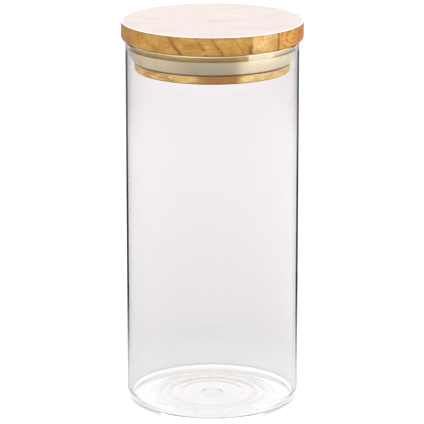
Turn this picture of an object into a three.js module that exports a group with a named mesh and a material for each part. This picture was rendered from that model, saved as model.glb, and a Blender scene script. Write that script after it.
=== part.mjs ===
// Lidded glass canister: a straight, thin-walled glass jar closed by a push-in wooden lid.
// The lid is two glued discs of wood. The lower one, the plug, drops into the mouth and carries
// a silicone ring whose skirt flares out to the glass. Every piece is a body of revolution.
// Millimetres, +Z up. The origin is the centre of the jar's foot, on the surface it stands on.

import * as THREE from "three";

// Driving dimensions
const TOTAL_HEIGHT = 226;
const JAR_RADIUS = 50;
const JAR_WALL = 1.2;
const LID_OVERHANG = 2.5; // of the lid's upper disc past the glass
const DISC_THICKNESS = 10.9;
const PLUG_DEPTH = 17.6; // from the upper disc's underside down to the plug's lower face
const FIT_GAP = 0.3; // clearance between neighbouring pieces

// Jar
const RIM_HEIGHT = TOTAL_HEIGHT - DISC_THICKNESS - FIT_GAP;
const BORE_RADIUS = JAR_RADIUS - JAR_WALL;
const HEEL_WIDTH = 3; // the outer corner between wall and foot is a quarter of an ellipse
const HEEL_HEIGHT = 8;
const FLOOR_HEIGHT = 2; // of the floor at its edge
const FLOOR_CROWN = 0.9; // the floor's rise from its edge to its centre
const FLOOR_CORNER_WIDTH = 3.6; // the inner corner is a quarter of an ellipse too
const FLOOR_CORNER_HEIGHT = 6.5;
const FOOT_INNER_RADIUS = 36.5; // the flat ring the jar stands on is outside this
const PUSH_UP_RADIUS = 25; // the underside rises from the foot ring inwards as far as this
const PUSH_UP_HEIGHT = 0.9;
const MARK_RADIUS = 7; // small dimple that glass-blowing leaves at the centre of the underside
const MARK_DEPTH = 0.6;

// Lid
const DISC_RADIUS = JAR_RADIUS + LID_OVERHANG;
const DISC_UNDERSIDE = TOTAL_HEIGHT - DISC_THICKNESS;
const DISC_TOP_EDGE_RADIUS = 1;
const DISC_LOWER_EDGE_RADIUS = 2;
const PLUG_UNDERSIDE = DISC_UNDERSIDE - PLUG_DEPTH;
const PLUG_TOP = DISC_UNDERSIDE - FIT_GAP; // the gap is the glue line
const NECK_RADIUS = BORE_RADIUS - 2.8; // land above the seal groove
const LIP_RADIUS = NECK_RADIUS - 1.2; // land below it, smaller so that the lid is easy to enter
const LIP_EDGE_RADIUS = 1.2;
const GROOVE_BOTTOM = PLUG_UNDERSIDE + 5.1;
const GROOVE_TOP = GROOVE_BOTTOM + 4.6;
const GROOVE_RADIUS = 42.3;

// Seal
const SEAL_BOTTOM = GROOVE_BOTTOM + FIT_GAP;
const SEAL_BAND_TOP = GROOVE_TOP - FIT_GAP;
const SEAL_BAND_INNER = GROOVE_RADIUS + FIT_GAP;
const SKIRT_ROOT_RADIUS = LIP_RADIUS + 0.4;
const SKIRT_TIP_RADIUS = BORE_RADIUS - FIT_GAP;
const SKIRT_HEIGHT = 8.1;
const SKIRT_BULGE = 0.75; // how far the skirt bows out between root and tip
const SKIRT_THICKNESS = 0.9;
const SKIRT_STEPS = 5;
const NOTCH_HEIGHT = 2.3; // of the bottom of the open V between band and skirt, above the seal's

const SEGMENTS = 64; // facets round each piece
const ARC_STEPS = 5; // straight steps in each rounded corner

// Points of a quarter of an ellipse round (x, z) in the profile plane, from one angle to
// another in degrees.
function arc(x, z, width, height, fromDegrees, toDegrees) {
  return Array.from({ length: ARC_STEPS + 1 }, (_, i) => {
    const degrees = THREE.MathUtils.lerp(fromDegrees, toDegrees, i / ARC_STEPS);
    const angle = THREE.MathUtils.degToRad(degrees);
    return [x + width * Math.cos(angle), z + height * Math.sin(angle)];
  });
}

// A surface of revolution about +Z. The profile's points are [radius, height], and run
// anticlockwise round the section: outwards along the underside and up the outside.
function turned(name, profile, material) {
  const points = profile.map(([radius, height]) => new THREE.Vector2(radius, height));
  const geometry = new THREE.LatheGeometry(points, SEGMENTS);
  geometry.rotateX(Math.PI / 2);
  const mesh = new THREE.Mesh(geometry, material);
  mesh.name = name;
  return mesh;
}

// One glass piece: foot ring round a pushed-up underside, rounded heel, straight wall,
// fire-polished rim and a slightly crowned floor.
function glassJar() {
  const rim = JAR_WALL / 2;
  const cornerCentre = BORE_RADIUS - FLOOR_CORNER_WIDTH;
  const profile = [
    [0, PUSH_UP_HEIGHT + MARK_DEPTH],
    [MARK_RADIUS / 2, PUSH_UP_HEIGHT + MARK_DEPTH * 0.75],
    [MARK_RADIUS, PUSH_UP_HEIGHT],
    [PUSH_UP_RADIUS, PUSH_UP_HEIGHT],
    [FOOT_INNER_RADIUS, 0],
    ...arc(JAR_RADIUS - HEEL_WIDTH, HEEL_HEIGHT, HEEL_WIDTH, HEEL_HEIGHT, -90, 0),
    ...arc(JAR_RADIUS - rim, RIM_HEIGHT - rim, rim, rim, 0, 180),
    ...arc(
      cornerCentre,
      FLOOR_HEIGHT + FLOOR_CORNER_HEIGHT,
      FLOOR_CORNER_WIDTH,
      FLOOR_CORNER_HEIGHT,
      0,
      -90,
    ),
    [cornerCentre / 2, FLOOR_HEIGHT + FLOOR_CROWN * 0.75],
    [0, FLOOR_HEIGHT + FLOOR_CROWN],
  ];
  const glass = new THREE.MeshStandardMaterial({
    color: 0xeceff0,
    roughness: 0.04,
    metalness: 0,
    transparent: true,
    opacity: 0.3,
  });
  return turned("glass_jar", profile, glass);
}

// Upper disc of the lid, with its top edge eased and its lower edge rounded.
function lidDisc() {
  const top = DISC_TOP_EDGE_RADIUS;
  const lower = DISC_LOWER_EDGE_RADIUS;
  const profile = [
    [0, DISC_UNDERSIDE],
    ...arc(DISC_RADIUS - lower, DISC_UNDERSIDE + lower, lower, lower, -90, 0),
    ...arc(DISC_RADIUS - top, TOTAL_HEIGHT - top, top, top, 0, 90),
    [0, TOTAL_HEIGHT],
  ];
  const wood = new THREE.MeshStandardMaterial({ color: 0xc69650, roughness: 0.5, metalness: 0 });
  return turned("lid_disc", profile, wood);
}

// Lower disc of the lid: a neck, the groove that holds the seal, and a lip with an eased edge.
function lidPlug() {
  const edge = LIP_EDGE_RADIUS;
  const profile = [
    [0, PLUG_UNDERSIDE],
    ...arc(LIP_RADIUS - edge, PLUG_UNDERSIDE + edge, edge, edge, -90, 0),
    [LIP_RADIUS, GROOVE_BOTTOM],
    [GROOVE_RADIUS, GROOVE_BOTTOM],
    [GROOVE_RADIUS, GROOVE_TOP],
    [NECK_RADIUS, GROOVE_TOP],
    [NECK_RADIUS, PLUG_TOP],
    [0, PLUG_TOP],
  ];
  const wood = new THREE.MeshStandardMaterial({ color: 0xbd8748, roughness: 0.5, metalness: 0 });
  return turned("lid_plug", profile, wood);
}

// Silicone ring: a band that sits in the plug's groove, and a skirt that springs from the
// band's foot and bows outwards and upwards past the neck, leaving a V open at the top.
function siliconeSeal() {
  const skirt = (inset) =>
    Array.from({ length: SKIRT_STEPS + 1 }, (_, i) => {
      const t = i / SKIRT_STEPS;
      const flare = THREE.MathUtils.lerp(SKIRT_ROOT_RADIUS, SKIRT_TIP_RADIUS, t);
      const bow = SKIRT_BULGE * Math.sin(Math.PI * t);
      return [flare + bow - inset, SEAL_BOTTOM + SKIRT_HEIGHT * t];
    });
  const profile = [
    [SEAL_BAND_INNER, SEAL_BOTTOM],
    ...skirt(0),
    ...skirt(SKIRT_THICKNESS).slice(2).reverse(),
    [SKIRT_ROOT_RADIUS, SEAL_BOTTOM + NOTCH_HEIGHT],
    [SKIRT_ROOT_RADIUS, SEAL_BAND_TOP],
    [SEAL_BAND_INNER, SEAL_BAND_TOP],
    [SEAL_BAND_INNER, SEAL_BOTTOM],
  ];
  const silicone = new THREE.MeshStandardMaterial({ color: 0xd6cdb8, roughness: 0.35, metalness: 0 });
  return turned("silicone_seal", profile, silicone);
}

const lid = new THREE.Group();
lid.add(lidDisc(), lidPlug());

const canister = new THREE.Group();
canister.add(glassJar(), siliconeSeal(), lid);

export default canister;
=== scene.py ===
"""Looks for the lidded glass canister, built round the frame of its CAD model.

Each of the four pieces is a fine surface of revolution that replaces its faceted CAD node.
Metres, +Z up, in the CAD's own frame. -Y is the front and +X the right.
"""

import math
from functools import reduce

import bpy
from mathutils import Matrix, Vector


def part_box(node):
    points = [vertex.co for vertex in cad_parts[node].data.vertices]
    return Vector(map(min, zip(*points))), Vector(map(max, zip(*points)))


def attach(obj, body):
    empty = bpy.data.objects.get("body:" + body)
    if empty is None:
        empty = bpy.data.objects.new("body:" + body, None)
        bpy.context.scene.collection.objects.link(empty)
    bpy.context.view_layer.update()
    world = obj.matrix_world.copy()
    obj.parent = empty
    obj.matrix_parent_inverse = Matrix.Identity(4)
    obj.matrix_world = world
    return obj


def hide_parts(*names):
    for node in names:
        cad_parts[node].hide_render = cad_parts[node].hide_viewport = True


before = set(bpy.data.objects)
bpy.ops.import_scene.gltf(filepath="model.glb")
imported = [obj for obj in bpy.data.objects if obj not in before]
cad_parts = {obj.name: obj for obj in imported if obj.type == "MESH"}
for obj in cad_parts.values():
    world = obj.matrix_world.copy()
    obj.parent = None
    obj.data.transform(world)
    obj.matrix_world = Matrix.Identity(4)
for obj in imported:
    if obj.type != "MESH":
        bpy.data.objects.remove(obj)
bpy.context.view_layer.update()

MM = 0.001
SEGMENTS = 256  # round each piece
ARC_STEPS = 14  # in each rounded corner
EDGE_ANGLE = math.radians(35)  # edges sharper than this stay crisp
HOLD = 0.25 * MM  # how near its ends a straight stretch of profile has a ring that keeps it straight

jar_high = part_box("glass_jar")[1]
disc_low, disc_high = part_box("lid_disc")
plug_low, plug_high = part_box("lid_plug")
seal_low, seal_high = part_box("silicone_seal")

WALL = 1.2 * MM
BORE_RADIUS = jar_high.x - WALL
LIP_RADIUS = plug_high.x - 1.2 * MM
GROOVE_RADIUS = 42.3 * MM
FIT_GAP = 0.3 * MM
GROOVE_BOTTOM = seal_low.z - FIT_GAP
GROOVE_TOP = GROOVE_BOTTOM + 4.6 * MM
MARK_RADIUS = 7 * MM  # the dimple at the centre of the jar's underside
PUSH_UP_RADIUS = 25 * MM  # the underside rises from the foot ring inwards as far as this
PUSH_UP_HEIGHT = 0.9 * MM
FOOT_RADIUS = 36.5 * MM  # inner edge of the ring that the jar stands on


# Shapes

def arc(x, z, width, height, start, end):
    """Points of part of an ellipse round (x, z) in the profile plane. Angles in degrees."""
    angles = [math.radians(start + (end - start) * i / ARC_STEPS) for i in range(ARC_STEPS + 1)]
    return [(x + width * math.cos(a), z + height * math.sin(a)) for a in angles]


def spline(points, steps=8):
    """A Catmull-Rom curve through the points."""
    ends = [points[0], *points, points[-1]]
    curve = []
    for a, b, c, d in zip(ends, ends[1:], ends[2:], ends[3:]):
        for i in range(steps):
            t = i / steps
            curve.append(tuple(
                q + 0.5 * t * ((r - p) + t * ((2 * p - 5 * q + 4 * r - s) + t * (3 * q - p - 3 * r + s)))
                for p, q, r, s in zip(a, b, c, d)
            ))
    return [*curve, points[-1]]


def held(profile, closed):
    """The profile with a point near both ends of each long straight stretch, so that smooth
    shading doesn't bend the stretch."""
    points = [profile[0]]
    for a, b in zip(profile, [*profile[1:], profile[0]] if closed else profile[1:]):
        length = math.dist(a, b)
        if length > 4 * HOLD:
            for t in (HOLD / length, 1 - HOLD / length):
                points.append((a[0] + (b[0] - a[0]) * t, a[1] + (b[1] - a[1]) * t))
        points.append(b)
    return points[:-1] if closed else points


def turned(name, profile, body, material):
    """A piece turned about +Z from a profile of (radius, height) points, anticlockwise round the
    section. A profile that doesn't start on the axis closes on itself. The piece rides on the
    body and stands for the CAD node of its name."""
    closed = profile[0][0] > 0
    vertices, rings = [], []
    for radius, height in held(profile, closed):
        count = SEGMENTS if radius > 0 else 1
        rings.append(range(len(vertices), len(vertices) + count))
        for i in range(count):
            angle = 2 * math.pi * i / SEGMENTS
            vertices.append((radius * math.sin(angle), -radius * math.cos(angle), height))
    faces = []
    for low, high in zip(rings, [*rings[1:], rings[0]] if closed else rings[1:]):
        for i in range(SEGMENTS):
            after = i + 1
            corners = (low[i % len(low)], low[after % len(low)], high[after % len(high)], high[i % len(high)])
            faces.append(tuple(dict.fromkeys(corners)))
    mesh = bpy.data.meshes.new(name)
    mesh.from_pydata(vertices, [], faces)
    mesh.shade_smooth()
    mesh.set_sharp_from_angle(angle=EDGE_ANGLE)
    mesh.materials.append(material)
    piece = bpy.data.objects.new(name + "_fine", mesh)
    bpy.context.scene.collection.objects.link(piece)
    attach(piece, body)
    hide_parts(name)
    return piece


def glass_jar(material):
    """Foot ring round a pushed-up underside, heel, straight wall, fire-polished bead at the rim,
    soft inner corner and a slightly crowned floor."""
    mark_height = PUSH_UP_HEIGHT + 0.55 * MM
    heel_width, heel_height = 3 * MM, 8 * MM
    corner_width, corner_height = 3.6 * MM, 6.5 * MM
    middle = (PUSH_UP_RADIUS + FOOT_RADIUS) / 2
    easing = 1 * MM  # half the width of each step down in the underside
    floor_height, floor_crown, floor_steps = 2 * MM, 0.9 * MM, 16
    outer_edge = 0.35 * MM
    bead_width, bead_height, bead_fade = 1.15 * MM, 0.75 * MM, 1.6 * MM
    bead_x, bead_z = jar_high.x - outer_edge, jar_high.z - bead_height
    swell, swell_drop = 0.22 * MM, 0.6 * MM  # of a point on the bead's inside as it fades into the bore
    flat_radius = BORE_RADIUS - corner_width
    # Two slightly sloping terraces lie between the push-up and the foot ring
    underside = spline([
        (0, mark_height),
        (MARK_RADIUS * 0.65, mark_height),
        (MARK_RADIUS, PUSH_UP_HEIGHT),
        (PUSH_UP_RADIUS * 0.5, PUSH_UP_HEIGHT),
        (PUSH_UP_RADIUS - easing, PUSH_UP_HEIGHT),
        (PUSH_UP_RADIUS + easing, PUSH_UP_HEIGHT * 0.7),
        (middle - easing, PUSH_UP_HEIGHT * 0.66),
        (middle + easing, PUSH_UP_HEIGHT * 0.34),
        (FOOT_RADIUS - easing, PUSH_UP_HEIGHT * 0.3),
        (FOOT_RADIUS + easing, 0),
    ])
    crown = [i / floor_steps for i in range(floor_steps - 1, -1, -1)]
    return turned(
        "glass_jar",
        [
            *underside,
            *arc(jar_high.x - heel_width, heel_height, heel_width, heel_height, -90, 0),
            *arc(bead_x, jar_high.z - outer_edge, outer_edge, outer_edge, 0, 90),
            *arc(bead_x, bead_z, bead_width, bead_height, 90, 180)[1:],
            *spline([
                (bead_x - bead_width, bead_z),
                (BORE_RADIUS - swell, bead_z - swell_drop),
                (BORE_RADIUS, bead_z - bead_fade),
            ])[1:],
            *arc(flat_radius, floor_height + corner_height, corner_width, corner_height, 0, -90),
            *[(flat_radius * t, floor_height + floor_crown * (1 - t * t)) for t in crown],
        ],
        "jar", material,
    )


def lid_disc(material, top_material):
    """The lid's upper disc, with an eased top edge and a rounder lower one."""
    top_edge, lower_edge = 0.5 * MM, 2.4 * MM
    radius = disc_high.x
    disc = turned(
        "lid_disc",
        [
            (0, disc_low.z),
            *arc(radius - lower_edge, disc_low.z + lower_edge, lower_edge, lower_edge, -90, 0),
            *arc(radius - top_edge, disc_high.z - top_edge, top_edge, top_edge, 0, 90),
            (0, disc_high.z),
        ],
        "lid", material,
    )
    disc.data.materials.append(top_material)
    for face in disc.data.polygons:
        face.material_index = int(face.center.z > disc_high.z - 0.5 * top_edge)
    return disc


def lid_plug(material):
    """The lid's lower disc: neck, seal groove and lip."""
    edge, break_edge = 1.2 * MM, 0.25 * MM
    neck = plug_high.x
    return turned(
        "lid_plug",
        [
            (0, plug_low.z),
            *arc(LIP_RADIUS - edge, plug_low.z + edge, edge, edge, -90, 0),
            *arc(LIP_RADIUS - break_edge, GROOVE_BOTTOM - break_edge, break_edge, break_edge, 0, 90),
            (GROOVE_RADIUS, GROOVE_BOTTOM),
            (GROOVE_RADIUS, GROOVE_TOP),
            *arc(neck - break_edge, GROOVE_TOP + break_edge, break_edge, break_edge, -90, 0),
            (neck, plug_high.z),
            (0, plug_high.z),
        ],
        "lid", material,
    )


def silicone_seal(material):
    """A band in the groove, and a skirt that springs from its foot and bows outwards and up to
    the glass, with a soft tip and an open V behind it."""
    root, tip = LIP_RADIUS + 0.4 * MM, seal_high.x
    height, bulge, thickness = 8.1 * MM, 0.75 * MM, 0.9 * MM
    tip_roundness = 0.2 * MM
    notch_height, band_top = 2.3 * MM, GROOVE_TOP - FIT_GAP
    steps, tip_steps = 24, 6
    first_inner = int(steps * 0.42)  # the skirt's inner face starts above this step

    def skirt(t, inset):
        bow = bulge * math.sin(math.pi * t)
        return (root + (tip - root) * t + bow - inset, seal_low.z + height * t)

    outer = [skirt(i / steps, 0) for i in range(steps)]
    half_turn = [math.pi * i / tip_steps for i in range(tip_steps + 1)]
    round_tip = [
        (tip - thickness / 2 * (1 - math.cos(a)), seal_high.z - tip_roundness * (1 - math.sin(a)))
        for a in half_turn
    ]
    inner = [skirt(i / steps, thickness) for i in range(steps - 1, first_inner, -1)]
    return turned(
        "silicone_seal",
        [
            (GROOVE_RADIUS + FIT_GAP, seal_low.z),
            *outer,
            *round_tip,
            *inner,
            (root, seal_low.z + notch_height),
            (root, band_top),
            (GROOVE_RADIUS + FIT_GAP, band_top),
        ],
        "seal", material,
    )


# Materials

class Nodes:
    """A material's node tree. Its methods add nodes and return their outputs. An input is a
    number, a colour, or another node's output."""

    def __init__(self, name):
        self.material = bpy.data.materials.new(name)
        self.material.use_nodes = True
        self.tree = self.material.node_tree
        self.tree.nodes.clear()

    def add(self, kind, inputs, output=0, **settings):
        node = self.tree.nodes.new("ShaderNode" + kind)
        for key, value in settings.items():
            setattr(node, key, value)
        for key, value in inputs.items():
            socket = node.inputs[key]
            if isinstance(value, bpy.types.NodeSocket):
                self.tree.links.new(value, socket)
            elif isinstance(value, tuple) and len(value) == 3 and socket.type == "RGBA":
                socket.default_value = (*value, 1)
            else:
                socket.default_value = value
        return node.outputs[output]

    def math(self, operation, a, b=0.0):
        return self.add("Math", {0: a, 1: b}, operation=operation)

    def product(self, *values):
        return reduce(lambda a, b: self.math("MULTIPLY", a, b), values)

    def total(self, *values):
        return reduce(lambda a, b: self.math("ADD", a, b), values)

    def most(self, *values):
        return reduce(lambda a, b: self.math("MAXIMUM", a, b), values)

    def length(self, a, b):
        """Of a line that goes a along one axis and b along another."""
        return self.math("SQRT", self.total(self.product(a, a), self.product(b, b)))

    def azimuth(self, x, y):
        """Radians round the axis from the front, positive towards the right."""
        return self.math("ARCTAN2", x, self.product(y, -1.0))

    def ramp(self, value, low, high, out_low=0.0, out_high=1.0, soft=True):
        """value from low..high to out_low..out_high, held beyond the ends."""
        return self.add(
            "MapRange",
            {"Value": value, "From Min": low, "From Max": high, "To Min": out_low, "To Max": out_high},
            interpolation_type="SMOOTHSTEP" if soft else "LINEAR",
        )

    def fall(self, value, low, high, strength=1.0):
        """From the strength down to 0 as the value goes from low to high."""
        return self.ramp(value, low, high, strength, 0.0)

    def window(self, value, start, full, fade, end):
        """1 from full to fade, and 0 before start and after end."""
        return self.product(self.ramp(value, start, full), self.fall(value, fade, end))

    def mix(self, share, a, b, blend="MIX"):
        return self.add("Mix", {0: share, 6: a, 7: b}, output=2, data_type="RGBA", blend_type=blend)

    def noise(self, vector, scale, detail=2.0, roughness=0.5, distortion=0.0):
        """Centred on 0.5. The vector is in metres, and scale is in ripples a metre."""
        return self.add(
            "TexNoise",
            {
                "Vector": vector,
                "Scale": scale,
                "Detail": detail,
                "Roughness": roughness,
                "Distortion": distortion,
            },
        )

    def wander(self, vector, scale, width, detail=2.0):
        """Noise centred on 0, within half the width either way."""
        return self.product(self.math("SUBTRACT", self.noise(vector, scale, detail), 0.5), width)

    def patchy(self, vector, scale, low, high):
        """Soft patches, from 0 to 1."""
        return self.ramp(self.noise(vector, scale), low, high)

    def place(self):
        """Points of the piece at rest."""
        return self.add("TexCoord", {}, output="Object")

    def turn_and_stretch(self, vector, turn=(0.0, 0.0, 0.0), stretch=(1.0, 1.0, 1.0)):
        return self.add("Mapping", {"Vector": vector, "Rotation": turn, "Scale": stretch})

    def split(self, vector):
        node = self.add("SeparateXYZ", {"Vector": vector}).node
        return node.outputs[0], node.outputs[1], node.outputs[2]

    def finish(self, surface):
        """Ends the tree with the surface, and returns the material."""
        output = self.tree.nodes.new("ShaderNodeOutputMaterial")
        self.tree.links.new(surface, output.inputs["Surface"])
        return self.material


# The glass

GLASS_IOR = 1.47
WHITE = (1.0, 1.0, 1.0)
FAINT_GREY = (0.96, 0.96, 0.96)
# Heights where a look starts, and where it has its full strength
# painted highlight along the rim
RIM_HIGHLIGHT = (jar_high.z - 1.1 * MM, jar_high.z - 0.6 * MM)
# painted shadow at the rim's left and right ends
RIM_SHADOW_ENDS = (jar_high.z - 0.9 * MM, jar_high.z - 0.6 * MM)
# painted gleam below the rim at the front right
RIM_GLEAM = (jar_high.z - 4.4 * MM, jar_high.z - 3.8 * MM)
# painted olive rings in the floor, for light refracted by the underside's slopes
FLOOR_RINGS = (  # radius and half width
    (18.5 * MM, 0.7 * MM),
    (25.5 * MM, 1.6 * MM),
    (32.5 * MM, 0.7 * MM),
)


class Glass(Nodes):
    """The glass's node tree, with the values that its parts share. Light that enters the glass
    does so by its outer surface, or by its inner one, which is the bore and the floor's top."""

    def __init__(self):
        super().__init__("clear_glass")
        self.x, self.y, self.z = self.split(self.place())
        self.radius = self.length(self.x, self.y)
        self.aside = self.math("ABSOLUTE", self.x)
        self.edge_on = self.add("LayerWeight", {"Blend": 0.5}, output="Facing")
        self.entering = self.math("SUBTRACT", 1.0, self.add("NewGeometry", {}, output="Backfacing"))
        mid_wall = jar_high.x - WALL / 2
        self.outer = self.product(self.entering, self.math("GREATER_THAN", self.radius, mid_wall))
        self.inner = self.product(self.entering, self.math("LESS_THAN", self.radius, mid_wall))
        self.low = self.fall(self.z, 7 * MM, 14 * MM)
        self.high = self.ramp(self.z, 190 * MM, 198 * MM)
        # painted shadow on the rim's top at its left and right ends, under the lid
        ends = self.ramp(self.aside, 42 * MM, 46 * MM)
        self.rim_shadow_ends = self.product(ends, self.ramp(self.z, *RIM_SHADOW_ENDS))


def wall_colour(n):
    """Faint grey for the near wall and a stronger one for the far wall. Painted shade and light: the far
    wall's grey lightens upwards, the near wall clears towards its sides, low down and in front of the lid,
    and the base is clear."""
    heel, lower, upper = (0.77, 0.755, 0.755), (0.672, 0.652, 0.664), (0.812, 0.762, 0.79)
    clear = n.most(n.ramp(n.edge_on, 0.05, 0.45), n.low, n.high)
    near = n.mix(clear, FAINT_GREY, WHITE)
    far = n.mix(n.ramp(n.z, 10 * MM, 170 * MM, soft=False), lower, upper)
    far = n.mix(n.ramp(n.z, 5 * MM, 30 * MM), heel, far)
    far = n.mix(n.ramp(n.z, 3.4 * MM, 4.6 * MM), WHITE, far)
    return n.mix(n.inner, n.mix(n.outer, WHITE, near), far)


def wall_side_shade(n):
    """How much painted shade darkens the near wall towards its sides, and a little more so at the left."""
    sides = n.product(n.ramp(n.edge_on, 0.60, 0.80), 0.40)
    left = n.product(n.ramp(n.edge_on, 0.30, 0.75), n.ramp(n.x, -20 * MM, -30 * MM), 0.10)
    upwards = n.product(n.ramp(n.z, 8 * MM, 60 * MM, 0.4, 1.0), n.ramp(n.z, 5 * MM, 9 * MM, 0.2, 1.0))
    return n.product(n.total(sides, left), upwards, n.outer)


def wall_edge_shade(n):
    """Painted shade: the dark line where the wall is seen edge-on, strongest at mid height and gone at the
    heel, and a painted shadow on the rim's top at its left and right ends."""
    strength = n.product(
        n.ramp(n.z, 6 * MM, 12 * MM),
        n.ramp(n.z, 8 * MM, 70 * MM, 0.30, 1.0),
        n.ramp(n.z, 130 * MM, 195 * MM, 1.0, 0.82),
        n.ramp(n.z, 209.5 * MM, 211 * MM, 1.0, 0.25),
    )
    line = n.product(n.ramp(n.edge_on, 0.77, 0.81), strength)
    return n.product(n.most(line, n.product(n.rim_shadow_ends, 0.95)), n.outer)


def with_painted_rings(n, tint):
    """The tint, with painted olive rings in the floor, strongest at the back, that stand in for light
    refracted by the underside's slopes.
    """
    olive, core, blur = (0.60, 0.57, 0.46), 0.7 * MM, 1.2 * MM
    back = n.ramp(n.math("DIVIDE", n.y, n.radius), 0.0, 0.95, 0.07, 0.85)
    share = n.product(back, n.fall(n.z, 3 * MM, 4 * MM), n.inner)
    for radius, half_width in FLOOR_RINGS:
        off = n.math("ABSOLUTE", n.math("SUBTRACT", n.radius, radius))
        ring = n.fall(off, half_width - core, half_width + blur)
        tint = n.mix(n.product(ring, share), tint, olive)
    return tint


def reflections(n):
    """Colour of the reflections: weak on the front of the outer surface, and halved on the other
    surfaces round the lid, where they would veil the wood."""
    front, side, veiled = (0.3, 0.3, 0.3), (0.7, 0.7, 0.7), (0.5, 0.5, 0.5)
    near = n.mix(n.ramp(n.edge_on, 0.3, 0.8), front, n.mix(n.ramp(n.z, 8 * MM, 40 * MM), WHITE, side))
    round_lid = n.product(n.ramp(n.z, 150 * MM, 190 * MM), n.fall(n.edge_on, 0.4, 0.6))
    return n.mix(n.outer, n.mix(round_lid, WHITE, veiled), n.mix(n.low, near, WHITE))


def painted_highlights(n):
    """Painted highlights: how much a soft bright surface shows, on the rim, in a gleam below it at the front
    right and on the heel's left and right, and that surface."""
    rim = n.ramp(n.z, *RIM_HIGHLIGHT, 0.0, 0.6)
    gleam = n.window(n.azimuth(n.x, n.y), 0.40, 0.43, 0.70, 0.85)
    gleam = n.product(gleam, n.ramp(n.z, *RIM_GLEAM, 0.0, 0.3))
    heel = n.product(n.ramp(n.aside, 16 * MM, 34 * MM), n.fall(n.z, 5 * MM, 9 * MM, 0.45), n.outer)
    share = n.product(n.most(rim, gleam, heel), n.entering, n.math("SUBTRACT", 1.0, n.rim_shadow_ends))
    tan, cream, pale = (0.70, 0.60, 0.43), (0.97, 0.87, 0.66), (0.93, 0.93, 0.93)
    glow = n.mix(n.low, n.mix(n.ramp(n.x, 16 * MM, 22 * MM), tan, cream), pale)
    return share, n.add("BsdfGlossy", {"Color": glow, "Roughness": 0.5})


def clear_glass():
    """Thin clear glass, faintly grey where light has crossed the jar, and clear in its base. A wall seen
    edge-on has painted shade, most of all at mid height. The fire-polished rim has a painted highlight, and
    the floor has painted olive rings and a painted tan line round its corner that stand in for refracted
    light."""
    n = Glass()
    edge = wall_edge_shade(n)
    # painted shade darkening the near wall towards its sides
    tint = n.mix(wall_side_shade(n), wall_colour(n), (0.25, 0.27, 0.25))
    # painted olive rings in the floor
    tint = with_painted_rings(n, tint)
    # painted tan line round the floor's inner corner, for light refracted there
    corner = n.product(n.window(n.z, 3.5 * MM, 4.1 * MM, 4.3 * MM, 5.0 * MM), n.inner)
    tint = n.mix(n.product(corner, 0.6), tint, (0.60, 0.54, 0.49))
    # painted shade: the wall seen edge-on is dark in what it lets through and what it reflects
    tint = n.mix(edge, tint, (0.022, 0.027, 0.022))
    sheen = n.mix(edge, reflections(n), (0.04, 0.045, 0.04))

    refracted = n.add("BsdfRefraction", {"Color": tint, "Roughness": 0.0, "IOR": GLASS_IOR})
    mirrored = n.add("BsdfGlossy", {"Color": sheen, "Roughness": 0.02})
    fresnel = n.add("Fresnel", {"IOR": GLASS_IOR})
    glass = n.add("MixShader", {0: fresnel, 1: refracted, 2: mirrored})
    # painted highlights mixed into the glass
    share, polished = painted_highlights(n)
    glass = n.add("MixShader", {0: share, 1: glass, 2: polished})
    foot = n.product(n.ramp(n.radius, 32 * MM, 38 * MM), n.low)
    lamp_colour = n.mix(n.most(n.high, foot), FAINT_GREY, WHITE)
    lamps_through = n.add("BsdfTransparent", {"Color": lamp_colour})
    lamp = n.add("LightPath", {}, output="Is Shadow Ray")
    return n.finish(n.add("MixShader", {0: lamp, 1: glass, 2: lamps_through}))


# The wood

STREAK_LEAN = 0.65  # leftward shift of the disc's growth streaks for each unit of height
STREAK_MIDDLE = 220.5 * MM  # the height where each streak is at its own x
STREAKS = (  # x and width in millimetres, and strength
    (-35, 2.0, 0.3),
    (-21.2, 2.6, 1.0),
    (-6, 2.4, 0.8),
    (2.8, 1.6, 0.8),
    (15, 1.2, 0.6),
)
KNOT = (46 * MM, 221.5 * MM)  # its x and z in the stave at the disc's right
FAR_PITH = (-301 * MM, 0)  # x and z of the tree's middle, which the growth rings of the top go round
PLUG_TURN = 0.06  # radians by which the plug's grain is turned from +X, both round Z and round Y


def grain(n, place, turn, pore_strength):
    """Fine detail of planed wood: fibres and pores along +X, turned round Z by the angle. Returns
    tone, from -0.5 to 0.5, and pores, from 0 to their strength."""
    fibre = n.turn_and_stretch(place, turn=(0, 0, turn), stretch=(0.09, 1, 1))
    streak = n.noise(fibre, 800, detail=4, roughness=0.65)
    broad = n.noise(fibre, 190, distortion=0.4)
    tone = n.math("SUBTRACT", n.add("Mix", {0: 0.3, 2: streak, 3: broad}), 0.5)
    dash = n.turn_and_stretch(place, turn=(0, 0, turn), stretch=(0.22, 1, 1))
    pores = n.ramp(n.noise(dash, 1500, roughness=0.6), 0.60, 0.70)
    return tone, n.product(pores, pore_strength)


def growth(n, place, pith, spacing, waviness):
    """The place within a growth ring, from 0 to 1. The rings are round a line along Y through
    the pith's x and z."""
    x, _, z = n.split(place)
    distance = n.length(n.math("SUBTRACT", x, pith[0]), n.math("SUBTRACT", z, pith[1]))
    slow = n.product(n.noise(place, 28), 2 * waviness)
    fine = n.product(n.noise(place, 160, detail=3, roughness=0.6), 0.35 * waviness)
    return n.math("FRACT", n.math("DIVIDE", n.total(distance, slow, fine), spacing))


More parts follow.
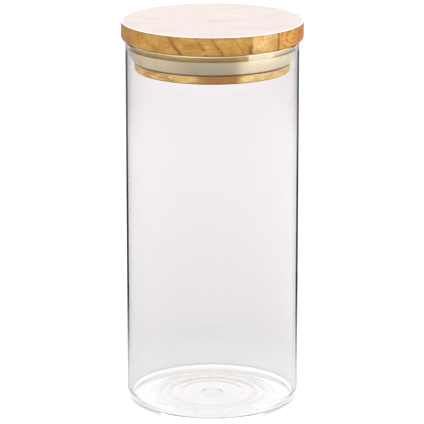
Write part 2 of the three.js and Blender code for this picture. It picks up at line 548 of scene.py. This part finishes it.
def wood_surface(n, colour, tone, pores, late, specular=0.08):
    """Planed and lacquered wood from its colour, with relief from its grain."""
    dark = n.mix(1.0, colour, (0.80, 0.74, 0.66), "MULTIPLY")
    pale = n.mix(1.0, colour, (1.16, 1.18, 1.22), "MULTIPLY")
    pore = n.mix(1.0, colour, (0.60, 0.47, 0.36), "MULTIPLY")
    colour = n.mix(n.ramp(tone, -0.14, 0.14, soft=False), dark, pale)
    colour = n.mix(n.product(pores, 0.35), colour, pore)
    grooves = n.total(pores, n.product(late, 0.3))
    relief = n.math("SUBTRACT", n.product(tone, 0.6), grooves)
    return n.add(
        "BsdfPrincipled",
        {
            "Base Color": colour,
            "Roughness": n.ramp(n.total(tone, pores), -0.3, 0.8, 0.40, 0.65, soft=False),
            "Normal": n.add("Bump", {"Height": relief, "Strength": 0.25, "Distance": 0.08 * MM}),
            "Specular IOR Level": specular,
        },
    )


def disc_late_wood(n, place, x, z):
    """Late wood on the disc's side: thin, broken, slanting growth streaks, and a flame low down,
    just left of the light zone."""
    lean = n.product(n.math("SUBTRACT", z, STREAK_MIDDLE), STREAK_LEAN)
    across = n.total(x, lean, n.wander(place, 180, 2.8 * MM, detail=3))
    streaks = 0.0
    for centre, width, strength in STREAKS:
        off = n.math("ABSOLUTE", n.math("SUBTRACT", across, centre * MM))
        streaks = n.most(n.fall(off, 0.0, width * MM, strength), streaks)
    fade = n.ramp(z, 217 * MM, 225 * MM, 1.0, 0.45)
    streaks = n.product(streaks, fade, n.patchy(place, 330, 0.25, 0.45))
    flame = n.product(n.ramp(x, 18.5 * MM, 21.5 * MM), n.ramp(z, 219 * MM, 222.5 * MM, 1.0, 0.2))
    return n.most(streaks, n.product(flame, n.patchy(place, 300, 0.3, 0.55)))


def stave_colour(n, place, x):
    """Orange-brown wood whose growth lines curl round a knot."""
    curl = growth(n, place, KNOT, 2.6 * MM, 4.5 * MM)
    late = n.product(n.ramp(curl, 0.55, 0.95), n.patchy(place, 150, 0.35, 0.6))
    orange = n.mix(n.ramp(x, 44 * MM, 51 * MM), (0.50, 0.26, 0.055), (0.40, 0.145, 0.024))
    return n.mix(n.product(late, 0.8), orange, (0.28, 0.085, 0.016))


def disc_wood():
    """The disc's side: golden wood with thin, broken, slanting growth lines, paler at the right and lit
    further there with painted light, and darker at its left end with painted shade. A stave of curly, redder
    wood is glued on at the far right."""
    n = Nodes("disc_wood")
    place = n.place()
    x, _, z = n.split(place)
    tone, pores = grain(n, place, 0.0, 1.0)
    late = disc_late_wood(n, place, x, z)

    blotches = n.ramp(n.noise(place, 150, detail=4, roughness=0.6), 0.35, 0.65)
    golden = n.mix(blotches, (0.325, 0.175, 0.038), (0.405, 0.232, 0.062))
    # painted shade: darker towards the left end
    golden = n.mix(n.ramp(x, -40 * MM, -51 * MM, 0.0, 0.8), golden, (0.27, 0.125, 0.022))
    golden = n.mix(n.product(late, 0.85), golden, (0.15, 0.040, 0.018))
    # paler wood at the right, lit further with painted light
    light = n.mix(n.patchy(place, 160, 0.3, 0.7), (0.47, 0.29, 0.10), (0.59, 0.38, 0.16))
    light = n.mix(n.product(late, 0.25), light, (0.36, 0.16, 0.05))
    colour = n.mix(n.ramp(x, 22.2 * MM, 23.4 * MM), golden, light)
    colour = n.mix(n.ramp(x, 32 * MM, 36.5 * MM, 0.0, 0.55), colour, (0.42, 0.22, 0.06))

    flare = n.ramp(z, 216 * MM, 219 * MM, 0.2 * MM, -0.8 * MM)
    joint = n.total(x, n.wander(place, 110, 4 * MM), flare)
    colour = n.mix(n.ramp(joint, 36.5 * MM, 36.9 * MM), colour, stave_colour(n, place, x))
    seam = n.window(joint, 35.3 * MM, 36.3 * MM, 36.8 * MM, 37.5 * MM)
    colour = n.mix(n.product(seam, 0.8), colour, (0.25, 0.09, 0.025))
    under_edge = n.ramp(z, disc_high.z - 1.3 * MM, disc_high.z - 0.7 * MM, 0.0, 0.35)
    colour = n.mix(under_edge, colour, (0.26, 0.11, 0.020))
    return n.finish(wood_surface(n, colour, tone, pores, late))


def disc_top():
    """The disc's lacquered top: the same wood in a pinkish white that is painted light, standing in for the
    lacquer's reflection of the bright surround, with faint smudges along its grain and a painted highlight on
    its edge."""
    n = Nodes("disc_top")
    place = n.place()
    x, y, _ = n.split(place)
    tone, pores = grain(n, place, 0.0, 0.3)
    along = n.turn_and_stretch(place, stretch=(0.30, 1, 1))
    smudge = n.ramp(n.noise(along, 130, detail=3, roughness=0.55), 0.52, 0.72)
    late = n.product(n.ramp(growth(n, place, FAR_PITH, 8.6 * MM, 1.2 * MM), 0.7, 0.95), 0.25)
    # painted light: the pinkish white stands in for the lacquer's reflection of the bright surround
    colour = n.mix(n.product(smudge, 0.35), (0.615, 0.548, 0.525), (0.46, 0.385, 0.34))
    colour = n.mix(n.product(late, 0.3), colour, (0.55, 0.43, 0.36))
    # painted highlight along the eased top edge
    edge = n.ramp(n.length(x, y), disc_high.x - 1.1 * MM, disc_high.x - 0.8 * MM)
    colour = n.mix(edge, colour, (0.88, 0.86, 0.84))
    return n.finish(wood_surface(n, colour, n.product(tone, 0.35), pores, late, specular=0.15))


def plug_wood():
    """The same wood, with long streaks, reddish in the middle, paler at the right and lit further there with
    painted light. The lip has painted shade along its top under the seal and along its foot. The neck is
    duller, and has a painted highlight at the front right."""
    n = Nodes("plug_wood")
    place = n.place()
    x, y, z = n.split(place)
    tone, pores = grain(n, place, PLUG_TURN, 1.0)
    long = n.turn_and_stretch(place, turn=(0, PLUG_TURN, 0), stretch=(0.14, 0.14, 1))
    late = n.ramp(n.noise(long, 620, detail=3, roughness=0.6), 0.46, 0.56)
    brown = n.mix(n.noise(place, 60), (0.73, 0.49, 0.14), (0.84, 0.60, 0.205))
    red = n.window(x, -16 * MM, -2 * MM, 12 * MM, 18 * MM)
    brown = n.mix(n.product(red, 0.92), brown, (0.335, 0.132, 0.012))
    brown = n.mix(n.product(late, 0.6), brown, (0.40, 0.145, 0.028))
    pale = n.mix(n.product(late, 0.5), (0.85, 0.62, 0.24), (0.60, 0.33, 0.10))
    border = n.total(x, n.product(n.noise(place, 90), 3 * MM))
    # paler wood at the right, lit further with painted light
    colour = n.mix(n.ramp(border, 17 * MM, 20.5 * MM), brown, pale)

    # painted shade along the lip's top under the seal and along its foot
    under_seal = n.product(
        n.ramp(z, GROOVE_BOTTOM - 0.7 * MM, GROOVE_BOTTOM - 0.3 * MM),
        n.fall(z, GROOVE_BOTTOM + 0.4 * MM, GROOVE_BOTTOM + 0.6 * MM),
    )
    lip_foot = n.fall(z, plug_low.z + 0.3 * MM, plug_low.z + 0.9 * MM, 0.9)
    shade = n.product(n.most(under_seal, lip_foot), 0.75)
    colour = n.mix(shade, colour, (0.10, 0.035, 0.010))
    neck = n.ramp(z, GROOVE_TOP, GROOVE_TOP + 1 * MM)
    colour = n.mix(n.product(neck, 0.7), colour, (0.50, 0.37, 0.127))
    # painted highlight on the neck at the front right
    neck_highlight = n.window(n.azimuth(x, y), 0.42, 0.47, 1.35, 1.5)
    colour = n.mix(n.product(neck_highlight, n.ramp(z, 210 * MM, 211.5 * MM)), colour, (0.90, 0.84, 0.64))
    return n.finish(wood_surface(n, colour, tone, pores, late))


# The seal and the floor

def seal_silicone():
    """Milky, slightly brown silicone with soft streaks down the skirt. It has painted shade in the middle and
    painted light at the right, and a painted shadow line round its foot."""
    n = Nodes("seal_silicone")
    place = n.place()
    x, _, z = n.split(place)
    down = n.turn_and_stretch(place, stretch=(1, 1, 0.25))
    streaks = n.ramp(n.noise(down, 120, detail=3, roughness=0.55), 0.3, 0.7)
    colour = n.mix(streaks, (0.64, 0.53, 0.33), (0.73, 0.625, 0.41))
    cloud = n.ramp(n.noise(place, 35), 0.35, 0.65, 0.0, 0.5)
    colour = n.mix(cloud, colour, (0.665, 0.56, 0.36))
    # painted shade in the middle
    middle = n.window(x, -30 * MM, -10 * MM, 12 * MM, 20 * MM)
    colour = n.mix(n.product(middle, 0.75), colour, (0.38, 0.328, 0.212))
    # painted light at the right
    bright = n.mix(streaks, (0.90, 0.78, 0.53), (0.96, 0.85, 0.62))
    colour = n.mix(n.ramp(x, 10 * MM, 22 * MM), colour, bright)
    # painted shadow line round the foot, where the seal meets the lip
    foot = n.fall(z, seal_low.z + 0.2 * MM, seal_low.z + 0.7 * MM, 0.8)
    colour = n.mix(foot, colour, (0.12, 0.09, 0.05))
    fine = n.noise(place, 700)
    solid = n.add(
        "BsdfPrincipled",
        {
            "Base Color": colour,
            "Roughness": n.ramp(fine, 0.3, 0.7, 0.36, 0.5),
            "Normal": n.add("Bump", {"Height": fine, "Strength": 0.15, "Distance": 0.05 * MM}),
            "Subsurface Weight": 0.3,
            "Subsurface Radius": (1.0, 0.8, 0.6),
            "Subsurface Scale": 1.5 * MM,
        },
    )
    return n.finish(solid)


def studio_floor():
    """Plain pale paper with the faintest tooth, clear from below."""
    n = Nodes("studio_floor")
    tooth = n.noise(n.place(), 60, detail=3)
    colour = n.mix(tooth, (0.90, 0.90, 0.90), (0.92, 0.92, 0.92))
    paper = n.add("BsdfPrincipled", {"Base Color": colour, "Roughness": 0.9, "Specular IOR Level": 0.0})
    open_back = n.add("BsdfTransparent", {"Color": WHITE})
    back = n.add("NewGeometry", {}, output="Backfacing")
    return n.finish(n.add("MixShader", {0: back, 1: paper, 2: open_back}))


# The studio

def floor():
    """A wide sheet of paper just under the jar's foot."""
    half, gap = 6.0, 0.05 * MM
    mesh = bpy.data.meshes.new("studio_floor")
    corners = [(-half, -half, 0), (half, -half, 0), (half, half, 0), (-half, half, 0)]
    mesh.from_pydata(corners, [], [(0, 1, 2, 3)])
    mesh.materials.append(studio_floor())
    ground = bpy.data.objects.new("studio_floor", mesh)
    ground.location.z = -gap
    bpy.context.scene.collection.objects.link(ground)


def softbox(name, azimuth, elevation, distance, width, height, radiance, through_glass=False):
    """A soft rectangular light that faces the jar's middle. Azimuth 0 is the front, 90 the right.
    It isn't seen by the camera itself, and is seen through glass only where that is said."""
    a, e = math.radians(azimuth), math.radians(elevation)
    aim = Vector((0, 0, jar_high.z / 2))
    away = Vector((math.sin(a) * math.cos(e), -math.cos(a) * math.cos(e), math.sin(e)))
    lamp = bpy.data.lights.new(name, "AREA")
    lamp.shape = "RECTANGLE"
    lamp.size, lamp.size_y = width, height
    lamp.energy = radiance * math.pi * width * height
    box = bpy.data.objects.new(name, lamp)
    box.location = aim + away * distance
    box.rotation_euler = away.to_track_quat("Z", "Y").to_euler()
    box.visible_camera = False
    box.visible_transmission = through_glass
    bpy.context.scene.collection.objects.link(box)


def lights():
    """A white surround, with softboxes overhead and on all four sides."""
    world = bpy.data.worlds.new("white_studio")
    world.use_nodes = True
    background = world.node_tree.nodes["Background"]
    background.inputs["Color"].default_value = (1.0, 1.0, 1.0, 1.0)
    background.inputs["Strength"].default_value = 0.9
    bpy.context.scene.world = world
    softbox("overhead", 0, 80, 1.8, width=2.0, height=1.6, radiance=0.9, through_glass=True)
    softbox("behind", 180, 20, 2.4, width=2.4, height=1.1, radiance=1.5, through_glass=True)
    softbox("right", 72, 22, 1.6, width=0.7, height=1.4, radiance=3.4)
    softbox("left", -70, 18, 1.8, width=0.6, height=1.3, radiance=1.0)
    softbox("front", -20, 9, 1.8, width=1.6, height=0.8, radiance=3.4)


def camera():
    """A long lens, looking slightly down at the canister's middle."""
    elevation = math.radians(14.761)
    distance = 1.7
    aim = Vector((-0.0002, 0, 0.1121))
    away = Vector((0, -math.cos(elevation), math.sin(elevation)))
    lens = bpy.data.cameras.new("camera")
    lens.lens, lens.sensor_width = 247.6, 36.0
    eye = bpy.data.objects.new("camera", lens)
    eye.location = aim + away * distance
    eye.rotation_euler = away.to_track_quat("Z", "Y").to_euler()
    bpy.context.scene.collection.objects.link(eye)
    bpy.context.scene.camera = eye


glass_jar(clear_glass())
lid_disc(disc_wood(), disc_top())
lid_plug(plug_wood())
silicone_seal(seal_silicone())
floor()
lights()
camera()
scene = bpy.context.scene
scene.view_settings.view_transform = "Standard"
scene.cycles.max_bounces = 24  # enough for light to cross all the surfaces of glass
scene.cycles.glossy_bounces = 16
scene.cycles.transmission_bounces = 24
